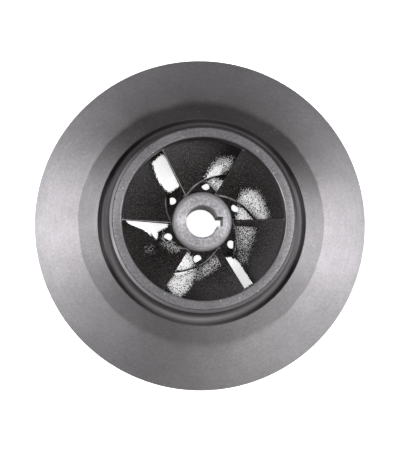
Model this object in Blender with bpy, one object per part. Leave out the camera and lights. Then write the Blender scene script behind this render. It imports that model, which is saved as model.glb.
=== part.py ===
"""Closed impeller of a single-suction centrifugal pump, at its real size.

It lies on its back with the suction eye up. The origin is on the axis, on the surface it lies on, and +Z
is the axis towards the eye. One casting in the real thing: its natural sections are separate objects here.
"""

import math

import bmesh
import bpy

# Overall
OUTER_DIAMETER = 0.340
OUTLET_WIDTH = 0.022
SECTION_GAP = 0.0005

# Front shroud
FRONT_EDGE_THICKNESS = 0.005
CONE_ANGLE = math.radians(20)
INNER_CONE_ANGLE = math.radians(24)
INNER_CONE_WIDTH = 0.020
RECESS_WIDTH = 0.013
RECESS_DEPTH = 0.0048
RECESS_WALL_RUN = 0.0020
UNDERSIDE_ANGLE = math.radians(14)

# Suction neck
EYE_DIAMETER = 0.160
NECK_WALL = 0.012
NECK_LAND_HEIGHT = 0.0145
NECK_RELIEF = 0.0008
NECK_CHAMFER = 0.0030
EYE_CHAMFER = 0.0010
NECK_HEIGHT = 0.0385
NECK_ROOT_RADIUS = 0.0055

# Hub
HUB_DIAMETER = 0.060
HUB_LENGTH = 0.046
HUB_NOSE_STEP = 0.0020
HUB_SHOULDER_RADIUS = 0.0045
BORE_DIAMETER = 0.032
BORE_CHAMFER = 0.0010
KEYWAY_WIDTH = 0.010
KEYWAY_DEPTH = 0.0050
HUB_REAR_CHAMFER = 0.0015

# Back shroud
BACK_THICKNESS = 0.006
FLOOR_RISE = 0.049
FLOOR_SLOPE = math.radians(40)
FLOOR_INNER_PULL = 0.039
FLOOR_OUTER_PULL = 0.070
BALANCE_HOLES = 6
BALANCE_HOLE_DIAMETER = 0.0082
BALANCE_CIRCLE_DIAMETER = 0.0744
BALANCE_HOLE_ANGLE = math.radians(23.7)

# Rear neck
REAR_LAND_DIAMETER = 0.184
REAR_NECK_WALL = 0.009
REAR_NECK_PROJECTION = 0.012
REAR_CHAMFER = 0.0015

# Vanes
VANES = 6
VANE_THICKNESS = 0.005
VANE_EDGE_THICKNESS = 0.0012
VANE_NOSE_SHARE = 0.14
VANE_INLET_ANGLE = math.radians(31)
VANE_OUTLET_ANGLE = math.radians(40)
VANE_TIP_DEPTH = 0.012
EYE_PULL = 0.046
SHROUD_PULL = 0.062

# Fineness of the meshes
TURN_STEPS = 60
ARC_STEPS = 4
LINE_STEPS = 10
VANE_STATIONS = 30
VANE_ROWS = 3

# Radii and heights that follow from the sizes above
outer_radius = OUTER_DIAMETER / 2
eye_radius = EYE_DIAMETER / 2
hub_radius = HUB_DIAMETER / 2
bore_radius = BORE_DIAMETER / 2
land_radius = eye_radius + NECK_WALL
neck_radius = land_radius - NECK_RELIEF
recess_radius = land_radius + RECESS_WIDTH
inner_cone_radius = recess_radius + INNER_CONE_WIDTH
back_edge_z = REAR_NECK_PROJECTION
floor_edge_z = back_edge_z + BACK_THICKNESS
cover_edge_z = floor_edge_z + OUTLET_WIDTH
rim_z = cover_edge_z + FRONT_EDGE_THICKNESS
inner_cone_z = rim_z + (outer_radius - inner_cone_radius) * math.tan(CONE_ANGLE)
recess_z = inner_cone_z + (inner_cone_radius - recess_radius) * math.tan(INNER_CONE_ANGLE)
recess_floor_z = recess_z - RECESS_DEPTH
face_z = recess_z + NECK_HEIGHT
tip_z = face_z - VANE_TIP_DEPTH
hub_floor_z = floor_edge_z + FLOOR_RISE
nose_z = hub_floor_z + HUB_NOSE_STEP + HUB_SHOULDER_RADIUS
hub_rear_z = nose_z - HUB_LENGTH


def bezier(start, first, second, end, t):
    """Point (radius, height) of a cubic curve in the plane through the axis."""
    s = 1 - t
    return tuple(
        s**3 * a + 3 * s * s * t * b + 3 * s * t * t * c + t**3 * d
        for a, b, c, d in zip(start, first, second, end)
    )


def floor_point(t):
    """The face of the back shroud under the vanes, from the hub at 0 to the outlet at 1."""
    start = (hub_radius, hub_floor_z)
    first = (
        start[0] + FLOOR_INNER_PULL * math.cos(FLOOR_SLOPE),
        start[1] - FLOOR_INNER_PULL * math.sin(FLOOR_SLOPE),
    )
    end = (outer_radius, floor_edge_z)
    second = (end[0] - FLOOR_OUTER_PULL, end[1])
    return bezier(start, first, second, end, t)


def cover_point(t):
    """The face of the front shroud over the vanes, from the vanes' tips at 0 to the outlet at 1."""
    start = (eye_radius, tip_z)
    first = (start[0], start[1] - EYE_PULL)
    end = (outer_radius, cover_edge_z)
    second = (
        end[0] - SHROUD_PULL * math.cos(UNDERSIDE_ANGLE),
        end[1] + SHROUD_PULL * math.sin(UNDERSIDE_ANGLE),
    )
    return bezier(start, first, second, end, t)


def offset_point(curve, t, distance):
    """A point of the curve moved sideways, to the right of its direction, by a distance."""
    step = 0.001
    before = curve(max(t - step, 0.0))
    after = curve(min(t + step, 1.0))
    run = (after[0] - before[0], after[1] - before[1])
    length = math.hypot(*run)
    here = curve(t)
    return (here[0] + run[1] / length * distance, here[1] - run[0] / length * distance)


def parameter_at(curve, axis, value):
    """The curve's parameter where its radius (axis 0) or height (axis 1) reaches a value."""
    low, high = 0.0, 1.0
    rising = curve(1.0)[axis] > curve(0.0)[axis]
    for _ in range(50):
        middle = (low + high) / 2
        if (curve(middle)[axis] < value) == rising:
            low = middle
        else:
            high = middle
    return (low + high) / 2


def arc(centre, radius, start, end, steps=ARC_STEPS):
    """Points of an arc in the plane through the axis, angles in degrees from the radial direction."""
    points = []
    for i in range(steps + 1):
        angle = math.radians(start + (end - start) * i / steps)
        points.append((centre[0] + radius * math.cos(angle), centre[1] + radius * math.sin(angle)))
    return points


def add_object(name, mesh, material):
    obj = bpy.data.objects.new(name, mesh)
    bpy.context.scene.collection.objects.link(obj)
    obj.data.materials.append(material)
    return obj


def add_turned(name, profile, material):
    """A solid turned from a closed profile of (radius, height) that runs down its outer side."""
    mesh = bpy.data.meshes.new(name)
    count = len(profile)
    edges = [(i, (i + 1) % count) for i in range(count)]
    mesh.from_pydata([(r, 0.0, z) for r, z in profile], edges, [])
    obj = add_object(name, mesh, material)
    screw = obj.modifiers.new("turn", "SCREW")
    screw.steps = TURN_STEPS
    screw.render_steps = TURN_STEPS
    screw.use_merge_vertices = True
    screw.merge_threshold = 0.00001
    return obj


def add_cutter(name, mesh):
    obj = bpy.data.objects.new(name, mesh)
    bpy.context.scene.collection.objects.link(obj)
    obj.hide_render = True
    obj.display_type = "WIRE"
    return obj


def cut(obj, cutter):
    boolean = obj.modifiers.new(cutter.name, "BOOLEAN")
    boolean.operation = "DIFFERENCE"
    boolean.solver = "EXACT"
    boolean.object = cutter


def settle(obj, cutters=()):
    """Turns the modifiers into plain mesh, shades round faces smooth and drops the cutters."""
    graph = bpy.context.evaluated_depsgraph_get()
    mesh = bpy.data.meshes.new_from_object(obj.evaluated_get(graph))
    obj.modifiers.clear()
    obj.data = mesh
    mesh.name = obj.name
    mesh.shade_smooth()
    mesh.set_sharp_from_angle(angle=math.radians(30))
    for cutter in cutters:
        bpy.data.objects.remove(cutter)


def make_material(name, colour, roughness, metallic):
    material = bpy.data.materials.new(name)
    material.use_nodes = True
    shader = material.node_tree.nodes["Principled BSDF"]
    shader.inputs["Base Color"].default_value = (*colour, 1.0)
    shader.inputs["Roughness"].default_value = roughness
    shader.inputs["Metallic"].default_value = metallic
    return material


def cover_split():
    """Where the front shroud meets the neck: a cylinder down from the foot of the neck's root."""
    return neck_radius + NECK_ROOT_RADIUS


def make_front_shroud(material):
    inner = cover_split() + SECTION_GAP
    t_inner = parameter_at(cover_point, 0, inner)
    profile = [
        (inner, recess_floor_z),
        (recess_radius - RECESS_WALL_RUN, recess_floor_z),
        (recess_radius, recess_z),
        (inner_cone_radius, inner_cone_z),
        (outer_radius, rim_z),
    ]
    for i in range(LINE_STEPS + 1):
        profile.append(cover_point(1 - (1 - t_inner) * i / LINE_STEPS))
    obj = add_turned("front_shroud", profile, material)
    settle(obj)
    return obj


def make_suction_neck(material):
    split = cover_split()
    t_split = parameter_at(cover_point, 0, split)
    land_bottom = face_z - NECK_CHAMFER - NECK_LAND_HEIGHT
    root = (split, recess_floor_z + NECK_ROOT_RADIUS)
    profile = [
        (eye_radius, face_z - EYE_CHAMFER),
        (eye_radius + EYE_CHAMFER, face_z),
        (land_radius - NECK_CHAMFER, face_z),
        (land_radius, face_z - NECK_CHAMFER),
        (land_radius, land_bottom),
        (neck_radius, land_bottom - NECK_RELIEF),
        *arc(root, NECK_ROOT_RADIUS, 180, 270),
    ]
    for i in range(LINE_STEPS + 1):
        profile.append(cover_point(t_split * (1 - i / LINE_STEPS)))
    obj = add_turned("suction_neck", profile, material)
    settle(obj)
    return obj


def make_back_shroud(material):
    def underside(t):
        return offset_point(floor_point, t, BACK_THICKNESS)

    inner = hub_radius + SECTION_GAP
    t_inner = parameter_at(floor_point, 0, inner)
    profile = []
    for i in range(LINE_STEPS + 1):
        profile.append(floor_point(t_inner + (1 - t_inner) * i / LINE_STEPS))
    for i in range(LINE_STEPS):
        profile.append(underside(1 - i / LINE_STEPS))
    t_rear = parameter_at(underside, 0, inner)
    profile.append((inner, underside(t_rear)[1]))
    obj = add_turned("back_shroud", profile, material)
    cutters = []
    for i in range(BALANCE_HOLES):
        angle = BALANCE_HOLE_ANGLE + i * math.tau / BALANCE_HOLES
        mesh = bpy.data.meshes.new("balance_hole_cutter")
        shape = bmesh.new()
        bmesh.ops.create_cone(
            shape,
            cap_ends=True,
            segments=20,
            radius1=BALANCE_HOLE_DIAMETER / 2,
            radius2=BALANCE_HOLE_DIAMETER / 2,
            depth=2 * hub_floor_z,
        )
        shape.to_mesh(mesh)
        shape.free()
        cutter = add_cutter(f"balance_hole_cutter_{i + 1}", mesh)
        cutter.location.x = BALANCE_CIRCLE_DIAMETER / 2 * math.cos(angle)
        cutter.location.y = BALANCE_CIRCLE_DIAMETER / 2 * math.sin(angle)
        cut(obj, cutter)
        cutters.append(cutter)
    bpy.context.view_layer.update()
    settle(obj, cutters)
    return obj


def make_rear_neck(material):
    """The collar under the back shroud, cut to the back's own slope with a small gap."""

    def rear(t):
        return offset_point(floor_point, t, BACK_THICKNESS + SECTION_GAP)

    def back_z(radius):
        return rear(parameter_at(rear, 0, radius))[1]

    outer = REAR_LAND_DIAMETER / 2
    inner = outer - REAR_NECK_WALL
    profile = [
        (inner, back_z(inner)),
        ((inner + outer) / 2, back_z((inner + outer) / 2)),
        (outer, back_z(outer)),
        (outer, REAR_CHAMFER),
        (outer - REAR_CHAMFER, 0.0),
        (inner + REAR_CHAMFER, 0.0),
        (inner, REAR_CHAMFER),
    ]
    obj = add_turned("rear_neck", profile, material)
    settle(obj)
    return obj


def make_hub(material):
    shoulder = (hub_radius - HUB_SHOULDER_RADIUS, nose_z - HUB_SHOULDER_RADIUS)
    profile = [
        (bore_radius, nose_z - BORE_CHAMFER),
        (bore_radius + BORE_CHAMFER, nose_z),
        *arc(shoulder, HUB_SHOULDER_RADIUS, 90, 0),
        (hub_radius, hub_rear_z + HUB_REAR_CHAMFER),
        (hub_radius - HUB_REAR_CHAMFER, hub_rear_z),
        (bore_radius + BORE_CHAMFER, hub_rear_z),
        (bore_radius, hub_rear_z + BORE_CHAMFER),
    ]
    obj = add_turned("hub", profile, material)
    mesh = bpy.data.meshes.new("keyway_cutter")
    shape = bmesh.new()
    bmesh.ops.create_cube(shape, size=1.0)
    reach = bore_radius + KEYWAY_DEPTH
    bmesh.ops.scale(shape, vec=(reach, KEYWAY_WIDTH, 2 * HUB_LENGTH), verts=shape.verts)
    shape.to_mesh(mesh)
    shape.free()
    cutter = add_cutter("keyway_cutter", mesh)
    cutter.location = (reach / 2, 0.0, nose_z - HUB_LENGTH / 2)
    cut(obj, cutter)
    bpy.context.view_layer.update()
    settle(obj, [cutter])
    return obj


def vane_angle(radius):
    """Angle between the vane's foot and the circle that it crosses at a radius."""
    share = (radius - hub_radius) / (outer_radius - hub_radius)
    return VANE_INLET_ANGLE + (VANE_OUTLET_ANGLE - VANE_INLET_ANGLE) * share


def sweep_step(start, end):
    """How far round the axis the foot runs back between two radii, in radians."""
    return math.log(end / start) / math.tan(vane_angle((start + end) / 2))


def vane_mesh():
    """One vane, leading edge on +X, ruled by straight lines in planes through the axis.

    The face that is seen from the eye stands on the swept line, and the vane's thickness lies behind it.
    """
    sides = ([], [])
    shape = bmesh.new()
    sweep = 0.0
    radius_before = hub_radius
    for i in range(VANE_STATIONS + 1):
        t = i / VANE_STATIONS
        radius_here = floor_point(t)[0]
        sweep += sweep_step(radius_before, radius_here)
        radius_before = radius_here
        nose = min(t / VANE_NOSE_SHARE, 1.0)
        swell = math.sqrt(1 - (1 - nose) ** 2)
        thickness = VANE_EDGE_THICKNESS + (VANE_THICKNESS - VANE_EDGE_THICKNESS) * swell
        width = thickness / math.sin(vane_angle(radius_here))
        foot = offset_point(floor_point, t, -SECTION_GAP)
        top = offset_point(cover_point, t, SECTION_GAP)
        if i == 0:
            foot = (hub_radius + 2 * SECTION_GAP, foot[1])
        for side, behind in zip(sides, (width, 0.0)):
            line = []
            for j in range(VANE_ROWS + 1):
                share = j / VANE_ROWS
                radius = foot[0] + (top[0] - foot[0]) * share
                height = foot[1] + (top[1] - foot[1]) * share
                angle = -sweep + behind / radius
                line.append(
                    shape.verts.new((radius * math.cos(angle), radius * math.sin(angle), height))
                )
            side.append(line)
    front, rear = sides
    for i in range(VANE_STATIONS):
        for j in range(VANE_ROWS):
            shape.faces.new((front[i][j], front[i][j + 1], front[i + 1][j + 1], front[i + 1][j]))
            shape.faces.new((rear[i][j], rear[i + 1][j], rear[i + 1][j + 1], rear[i][j + 1]))
        for j in (0, VANE_ROWS):
            shape.faces.new((front[i][j], front[i + 1][j], rear[i + 1][j], rear[i][j]))
    for i in (0, VANE_STATIONS):
        for j in range(VANE_ROWS):
            shape.faces.new((front[i][j], rear[i][j], rear[i][j + 1], front[i][j + 1]))
    bmesh.ops.recalc_face_normals(shape, faces=shape.faces)
    mesh = bpy.data.meshes.new("vane")
    shape.to_mesh(mesh)
    shape.free()
    mesh.shade_smooth()
    mesh.set_sharp_from_angle(angle=math.radians(40))
    return mesh


def make_vanes(material):
    mesh = vane_mesh()
    mesh.materials.append(material)
    for i in range(VANES):
        obj = bpy.data.objects.new(f"vane_{i + 1}", mesh)
        bpy.context.scene.collection.objects.link(obj)
        obj.rotation_euler.z = i * math.tau / VANES


def main():
    for obj in list(bpy.data.objects):
        bpy.data.objects.remove(obj, do_unlink=True)
    coated = make_material("coated_iron", (0.10, 0.10, 0.11), 0.45, 0.6)
    machined = make_material("machined_iron", (0.33, 0.33, 0.34), 0.35, 0.9)
    rough = make_material("as_cast_iron", (0.03, 0.028, 0.026), 0.7, 0.2)
    make_front_shroud(coated)
    make_suction_neck(machined)
    make_back_shroud(rough)
    make_rear_neck(machined)
    make_hub(machined)
    make_vanes(rough)


main()
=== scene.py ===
"""Looks of a closed pump impeller that lies on a pale floor with its suction eye up.

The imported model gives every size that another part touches. This script gives the pieces their
smooth turned and cast surfaces, their finishes, and the stage they are seen on.
"""

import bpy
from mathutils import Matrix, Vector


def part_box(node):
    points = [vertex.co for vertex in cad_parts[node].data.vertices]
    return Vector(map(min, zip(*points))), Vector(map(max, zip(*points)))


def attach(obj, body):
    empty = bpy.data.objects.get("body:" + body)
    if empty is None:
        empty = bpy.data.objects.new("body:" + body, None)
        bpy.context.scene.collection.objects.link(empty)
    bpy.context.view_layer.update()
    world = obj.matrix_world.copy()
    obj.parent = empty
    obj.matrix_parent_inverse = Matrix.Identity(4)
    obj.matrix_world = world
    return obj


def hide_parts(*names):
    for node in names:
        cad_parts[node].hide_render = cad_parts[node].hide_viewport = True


bl_info = {
    "name": "Closed Pump Impeller",
    "version": (1, 0, 0),
    "blender": (4, 5, 0),
    "location": "3D View > Sidebar > Impeller",
    "description": "Dresses the solids of a closed pump impeller and sets its stage",
    "category": "Object",
}

import math

import bmesh
import bpy
from bpy.props import FloatProperty, FloatVectorProperty, PointerProperty
from mathutils import Matrix, Vector

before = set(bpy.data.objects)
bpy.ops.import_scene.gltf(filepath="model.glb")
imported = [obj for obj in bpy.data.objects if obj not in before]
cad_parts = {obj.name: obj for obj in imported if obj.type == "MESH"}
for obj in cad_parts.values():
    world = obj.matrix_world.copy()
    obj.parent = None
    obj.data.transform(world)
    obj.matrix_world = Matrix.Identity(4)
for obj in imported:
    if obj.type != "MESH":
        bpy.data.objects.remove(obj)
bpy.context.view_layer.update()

OUTER_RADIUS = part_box("front_shroud")[1][0]
COVER_EDGE_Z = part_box("front_shroud")[0][2]
BACK_EDGE_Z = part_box("back_shroud")[0][2]
FACE_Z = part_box("suction_neck")[1][2]
NOSE_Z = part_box("hub")[1][2]
HUB_REAR_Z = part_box("hub")[0][2]
HUB_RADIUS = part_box("hub")[1][0]
REAR_LAND_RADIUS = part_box("rear_neck")[1][0]
REAR_FACE_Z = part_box("rear_neck")[0][2]
VANES = 6
MM = 0.001
WHITE = (1, 1, 1)
RECESS_LIP = 0.1  # how far the recess's wall runs past its edge, as a share of its run
REAR_NECK_TOP = 0.9  # where the rear neck ends, as a share of the back shroud's thickness
VANE_FOOT = 0.15  # where the vanes' feet end, as a share of the back shroud's thickness
VANE_TOP = 0.0006  # how far the vanes reach into the front shroud
TIP_SHARE = 0.97  # share of a vane's height above which its edge is always bare and highlighted (painted highlight)
FOOT_LINE_RISE = 0.0022  # height of the painted highlight above a vane's foot
RAGGED = 1.5  # raggedness above which the painted light also fades towards its outline
EDGE_WEAR_AND_HIGHLIGHT = (0.62, 0.45, 1.0, 0.95, 0.45, 0.55)  # how strong each vane's bare iron and painted highlight along its leading edge are


def length(name, description, default):
    return FloatProperty(
        name=name, description=description, default=default, min=0.0, unit="LENGTH", precision=5
    )


def angle(name, description, degrees):
    return FloatProperty(
        name=name, description=description, default=math.radians(degrees), subtype="ANGLE"
    )


def number(name, description, default):
    return FloatProperty(name=name, description=description, default=default, min=0.0)


def colour(name, description, default):
    return FloatVectorProperty(
        name=name, description=description, default=default, size=3, min=0, max=1, subtype="COLOR"
    )


class ImpellerSizes(bpy.types.PropertyGroup):
    """Sizes of the casting and of its turned faces."""

    front_edge: length("Front Edge", "Thickness of the front shroud at the rim", 0.005)
    back_thickness: length("Back Thickness", "Thickness of the back shroud", 0.006)
    cone: angle("Cone", "Slope of the front shroud's outer zone", 20)
    inner_cone: angle("Inner Cone", "Slope of the front shroud's inner zone", 24)
    inner_cone_width: length("Inner Zone", "Width of the steeper zone round the recess", 0.0200)
    recess_width: length("Recess Width", "Width of the turned recess round the neck", 0.0127)
    recess_depth: length("Recess Depth", "Depth of the turned recess", 0.0048)
    recess_wall: length("Recess Wall", "Run of the recess's outer wall", 0.0036)
    underside: angle("Underside", "Slope of the front shroud's underside at the rim", 14)
    eye_radius: length("Eye Radius", "Radius of the suction eye", 0.080)
    neck_wall: length("Neck Wall", "Wall of the suction neck at its land", 0.012)
    land_height: length("Land Height", "Height of the neck's running land", 0.0145)
    neck_relief: length("Neck Relief", "Step from the land to the neck's cast wall", 0.0008)
    neck_chamfer: length("Neck Chamfer", "Chamfer of the neck's outer edge", 0.0030)
    eye_chamfer: length("Eye Chamfer", "Chamfer of the neck's inner edge", 0.0010)
    neck_root: length("Neck Root", "Radius where the neck meets the recess", 0.0055)
    bore_radius: length("Bore Radius", "Radius of the shaft bore", 0.016)
    bore_chamfer: length("Bore Chamfer", "Chamfer of the bore's mouths", 0.0010)
    hub_shoulder: length("Hub Shoulder", "Radius of the hub nose's outer edge", 0.0045)
    hub_step: length("Hub Step", "Height of the hub's side above the floor", 0.0020)
    hub_rear_chamfer: length("Hub Rear Chamfer", "Chamfer of the hub's rear edge", 0.0015)
    keyway_width: length("Keyway Width", "Width of the keyway", 0.010)
    keyway_depth: length("Keyway Depth", "Depth of the keyway", 0.0050)
    floor_slope: angle("Floor Slope", "Slope of the back shroud's face at the hub", 40)
    floor_inner_pull: length("Floor Inner Pull", "Reach of that slope from the hub", 0.039)
    floor_outer_pull: length("Floor Outer Pull", "Reach of the flat stretch from the rim", 0.070)
    hole_radius: length("Balance Hole", "Radius of a balance hole", 0.0041)
    hole_circle: length("Hole Circle", "Radius of the circle of balance holes", 0.0372)
    hole_angle: angle("Hole Angle", "Place of the first balance hole", 23.7)
    rear_neck_wall: length("Rear Neck Wall", "Wall of the rear neck", 0.009)
    rear_chamfer: length("Rear Chamfer", "Chamfer of the rear neck", 0.0015)
    vane_thickness: length("Vane Thickness", "Thickness of a vane", 0.005)
    vane_edge: length("Vane Edge", "Thickness of a vane behind its leading edge", 0.0004)
    vane_inlet: angle("Vane Inlet Angle", "Angle of a vane's foot to the circles at the hub", 31)
    vane_outlet: angle("Vane Outlet Angle", "The same angle at the rim", 40)
    vane_tip_depth: length("Vane Tip Depth", "Depth of the vanes' tips below the neck's face", 0.012)
    eye_pull: length("Eye Pull", "Reach of the eye's straight wall below the tips", 0.046)
    shroud_pull: length("Shroud Pull", "Reach of the underside's slope from the rim", 0.062)
    fillet: length("Cast Fillet", "Radius of the cast fillets along the vanes", 0.0030)
    fillet_run: length("Fillet Run", "Distance behind a leading edge at which its fillets are full", 0.020)
    # The strip is bare iron with a painted highlight.
    worn_width: length("Worn Width", "Width of the bare strip along a leading edge", 0.0007)
    edge_round: length("Edge Round", "Radius left on turned edges", 0.0003)


class ImpellerFinishes(bpy.types.PropertyGroup):
    """Colours and wear of the surfaces."""

    coat: colour("Coat", "Dark satin coat of the front shroud", (0.288, 0.282, 0.283))
    coat_inner: colour("Inner Coat", "Coat of the steeper inner zone", (0.168, 0.164, 0.163))
    # Painted shade: the inner zone's coat darker on the far side.
    coat_far_shade: colour("Soiled Coat", "The same coat on its dirtier side", (0.083, 0.077, 0.075))
    coat_marks: colour("Coat Marks", "Turning marks that show through the coat", (0.10, 0.10, 0.10))
    # Painted shade: the outer zone darker towards its border and in the middle of the near side.
    outer_shade: colour("Grime", "Grime on the outer zone", (0.115, 0.104, 0.100))
    dust_and_sheen: colour("Dust", "Grains of dust on the coat", (0.75, 0.74, 0.72))
    recess: colour("Recess", "Coat on the wall of the recess", (0.090, 0.086, 0.086))
    # Painted light: the recess's wall lighter at its left and right sides.
    recess_lit_sides: colour("Rubbed Recess", "The same wall at its two sides", (0.36, 0.35, 0.35))
    # Painted shade: the recess's wall darker towards the far side.
    recess_far_shade: colour("Soiled Recess", "The same wall where dirt lies in it", (0.035, 0.033, 0.032))
    # Painted light: the recess's floor paler than its wall, as lit.
    recess_floor: colour("Recess Floor", "Coat on the floor of the recess", (0.170, 0.163, 0.163))
    # Painted shade: darker in the recess's corners, up the neck below its land and on the land's far side.
    painted_shade: colour("Dirt", "Dirt in the corners of the recess and up the neck", (0.045, 0.042, 0.042))
    turned: colour("Turned Iron", "Bare turned iron of the necks", (0.350, 0.343, 0.347))
    turned_marks: colour("Turning Marks", "Darker turning marks on the necks", (0.20, 0.20, 0.205))
    turned_clouds: colour("Neck Clouds", "Duller clouds on the necks", (0.24, 0.235, 0.23))
    turned_side: colour("Neck Side", "Duller iron of the necks' chamfer and land", (0.15, 0.147, 0.147))
    # Painted light: the necks' chamfer and land lighter on the left.
    lit_left_side: colour("Clean Neck Side", "The cleanest stretch of that iron", (0.27, 0.265, 0.268))
    nicks: colour("Nicks", "Small bright nicks on the necks", (0.9, 0.9, 0.88))
    dents: colour("Dents", "Larger bright dents on the necks", (0.8, 0.8, 0.78))
    hub_turned: colour("Hub Iron", "Bare turned iron of the hub's nose", (0.56, 0.553, 0.56))
    hub_marks: colour("Hub Marks", "Darker turning marks on the hub", (0.30, 0.30, 0.31))
    hub_clouds: colour("Hub Clouds", "Duller clouds on the hub", (0.30, 0.29, 0.28))
    hub_dull: colour("Hub Shoulder", "Dull iron round the hub's nose", (0.17, 0.168, 0.168))
    bore: colour("Bore", "Iron of the bore and the keyway", (0.33, 0.325, 0.32))
    black: colour("Cast Black", "Black of the cast water passages", (0.007, 0.0068, 0.0066))
    rust: colour("Brown", "Brown bloom in the water passages", (0.014, 0.0105, 0.0085))
    # Painted sheen: the passages lighter and glossier towards the eye wall.
    passage_sheen: colour("Passage Dust", "Dust deeper in the passages", (0.034, 0.030, 0.029))
    sand: colour("Sand", "Raised grains of the cast skin", (0.085, 0.080, 0.076))
    # Painted light at the throats of the passages, which also glows.
    scale: colour("Scale", "Pale scale at the throats of the passages", (0.90, 0.90, 0.89))
    # Bare iron and a painted highlight along the leading edges, and a painted highlight along the vanes'
    # feet.
    wear_and_highlight: colour("Worn Edge", "Bare iron along the leading edges", (0.24, 0.235, 0.23))


class ImpellerStage(bpy.types.PropertyGroup):
    """Floor, camera and lights."""

    distance: length("Camera Distance", "From the rim's centre to the camera", 1.2)
    tilt: angle("Camera Tilt", "Angle between the line of sight and the axis", 5.58)
    heading: angle("Camera Heading", "Direction of the camera from the axis, from +X", 241.9)
    rim_pixels: number("Rim Pixels", "Rim radius in the picture", 165.4)
    rim_right: number("Rim Right", "Rim's centre right of the picture's centre, in pixels", 0.93)
    rim_up: number("Rim Up", "Rim's centre above the picture's centre, in pixels", 1.17)
    left_power: number("Left Light", "Power in watts", 13.5)
    right_power: number("Right Light", "Power in watts", 15.9)
    fill_power: number("Fill Light", "Power in watts", 3.8)
    low_power: number("Low Light", "Power in watts", 3)
    overhead: number("Overhead", "Brightness of the room straight above", 0.12)
    horizon: number("Horizon", "Brightness of the room at eye level", 0.02)
    floor: colour("Floor", "Colour of the pale floor", (0.9, 0.9, 0.9))
    floor_glow: number("Floor Glow", "Brightness that the floor has of itself", 0.95)
    floor_reach: length("Floor Reach", "From the middle of the floor to its edges", 30.0)


def sizes():
    """The sizes as the user has set them."""
    return bpy.context.scene.impeller_sizes


def finishes():
    """The colours as the user has set them."""
    return bpy.context.scene.impeller_finishes


def bezier(points, t):
    """Point (radius, height) of a cubic curve in the plane through the axis."""
    s = 1 - t
    weights = (s**3, 3 * s * s * t, 3 * s * t * t, t**3)
    return tuple(sum(w * p[k] for w, p in zip(weights, points)) for k in (0, 1))


def floor_point(t):
    """The back shroud's face under the vanes, from the hub at 0 to the outlet at 1."""
    s = sizes()
    edge_z = BACK_EDGE_Z + s.back_thickness
    start = (HUB_RADIUS, NOSE_Z - s.hub_shoulder - s.hub_step)
    run = s.floor_inner_pull * math.cos(s.floor_slope)
    drop = s.floor_inner_pull * math.sin(s.floor_slope)
    return bezier(
        (
            start,
            (start[0] + run, start[1] - drop),
            (OUTER_RADIUS - s.floor_outer_pull, edge_z),
            (OUTER_RADIUS, edge_z),
        ),
        t,
    )


def cover_point(t):
    """The front shroud's face over the vanes, from the vanes' tips at 0 to the outlet at 1."""
    s = sizes()
    tip_z = FACE_Z - s.vane_tip_depth
    run = s.shroud_pull * math.cos(s.underside)
    rise = s.shroud_pull * math.sin(s.underside)
    return bezier(
        (
            (s.eye_radius, tip_z),
            (s.eye_radius, tip_z - s.eye_pull),
            (OUTER_RADIUS - run, COVER_EDGE_Z + rise),
            (OUTER_RADIUS, COVER_EDGE_Z),
        ),
        t,
    )


def offset_point(curve, t, distance):
    """A point of the curve moved sideways, to the right of its direction."""
    step = 0.001
    before = curve(max(t - step, 0.0))
    after = curve(min(t + step, 1.0))
    run = (after[0] - before[0], after[1] - before[1])
    reach = math.hypot(*run)
    here = curve(t)
    return (here[0] + run[1] / reach * distance, here[1] - run[0] / reach * distance)


def parameter_at(curve, radius):
    """Where the curve reaches a radius."""
    low, high = 0.0, 1.0
    for _ in range(50):
        middle = (low + high) / 2
        if curve(middle)[0] < radius:
            low = middle
        else:
            high = middle
    return (low + high) / 2


def rear_height(radius, share=1.0):
    """Height of the back shroud at a radius, at a share of its thickness behind its face."""

    def rear(t):
        return offset_point(floor_point, t, sizes().back_thickness * share)

    return rear(parameter_at(rear, radius))[1]


def arc(centre, radius, start, end, steps=10):
    """Points of an arc in the plane through the axis, in degrees from the radial direction."""
    points = []
    for i in range(steps + 1):
        a = math.radians(start + (end - start) * i / steps)
        points.append((centre[0] + radius * math.cos(a), centre[1] + radius * math.sin(a)))
    return points


def eased(profile, radius, least=25):
    """The closed profile with its sharp corners rounded."""
    count = len(profile)
    most = 0.45  # share of a side that one rounding may take
    result = []
    for i, here in enumerate(profile):
        before = Vector(profile[i - 1])
        after = Vector(profile[(i + 1) % count])
        corner = Vector(here)
        back = before - corner
        ahead = after - corner
        turn = math.pi - back.angle(ahead)
        if turn < math.radians(least):
            result.append(here)
            continue
        reach = min(radius * math.tan(turn / 2), back.length * most, ahead.length * most)
        first = corner + back.normalized() * reach
        last = corner + ahead.normalized() * reach
        for k in range(4):
            u = k / 3
            point = first * (1 - u) ** 2 + corner * 2 * u * (1 - u) + last * u * u
            result.append(tuple(point))
    return result


def add_object(name, data):
    """A new object in the scene."""
    obj = bpy.data.objects.new(name, data)
    bpy.context.scene.collection.objects.link(obj)
    return obj


def finished_mesh(name, shape):
    """The shape as a mesh; the shape itself is freed."""
    mesh = bpy.data.meshes.new(name)
    shape.to_mesh(mesh)
    shape.free()
    return mesh


def link(name, mesh, material):
    """A new object of the mesh, in the one material."""
    obj = add_object(name, mesh)
    obj.data.materials.clear()
    obj.data.materials.append(material)
    return obj


def turned_mesh(name, profile, segments):
    """A closed mesh turned about the axis from a closed profile, faces pointing out."""
    shape = bmesh.new()
    rings = []
    for i in range(segments):
        a = math.tau * i / segments
        rings.append([shape.verts.new((r * math.cos(a), r * math.sin(a), z)) for r, z in profile])
    count = len(profile)
    for i in range(segments):
        here = rings[i]
        after = rings[(i + 1) % segments]
        for j in range(count):
            k = (j + 1) % count
            shape.faces.new((here[j], here[k], after[k], after[j]))
    bmesh.ops.recalc_face_normals(shape, faces=shape.faces)
    mesh = finished_mesh(name, shape)
    smooth(mesh)
    return mesh


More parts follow.
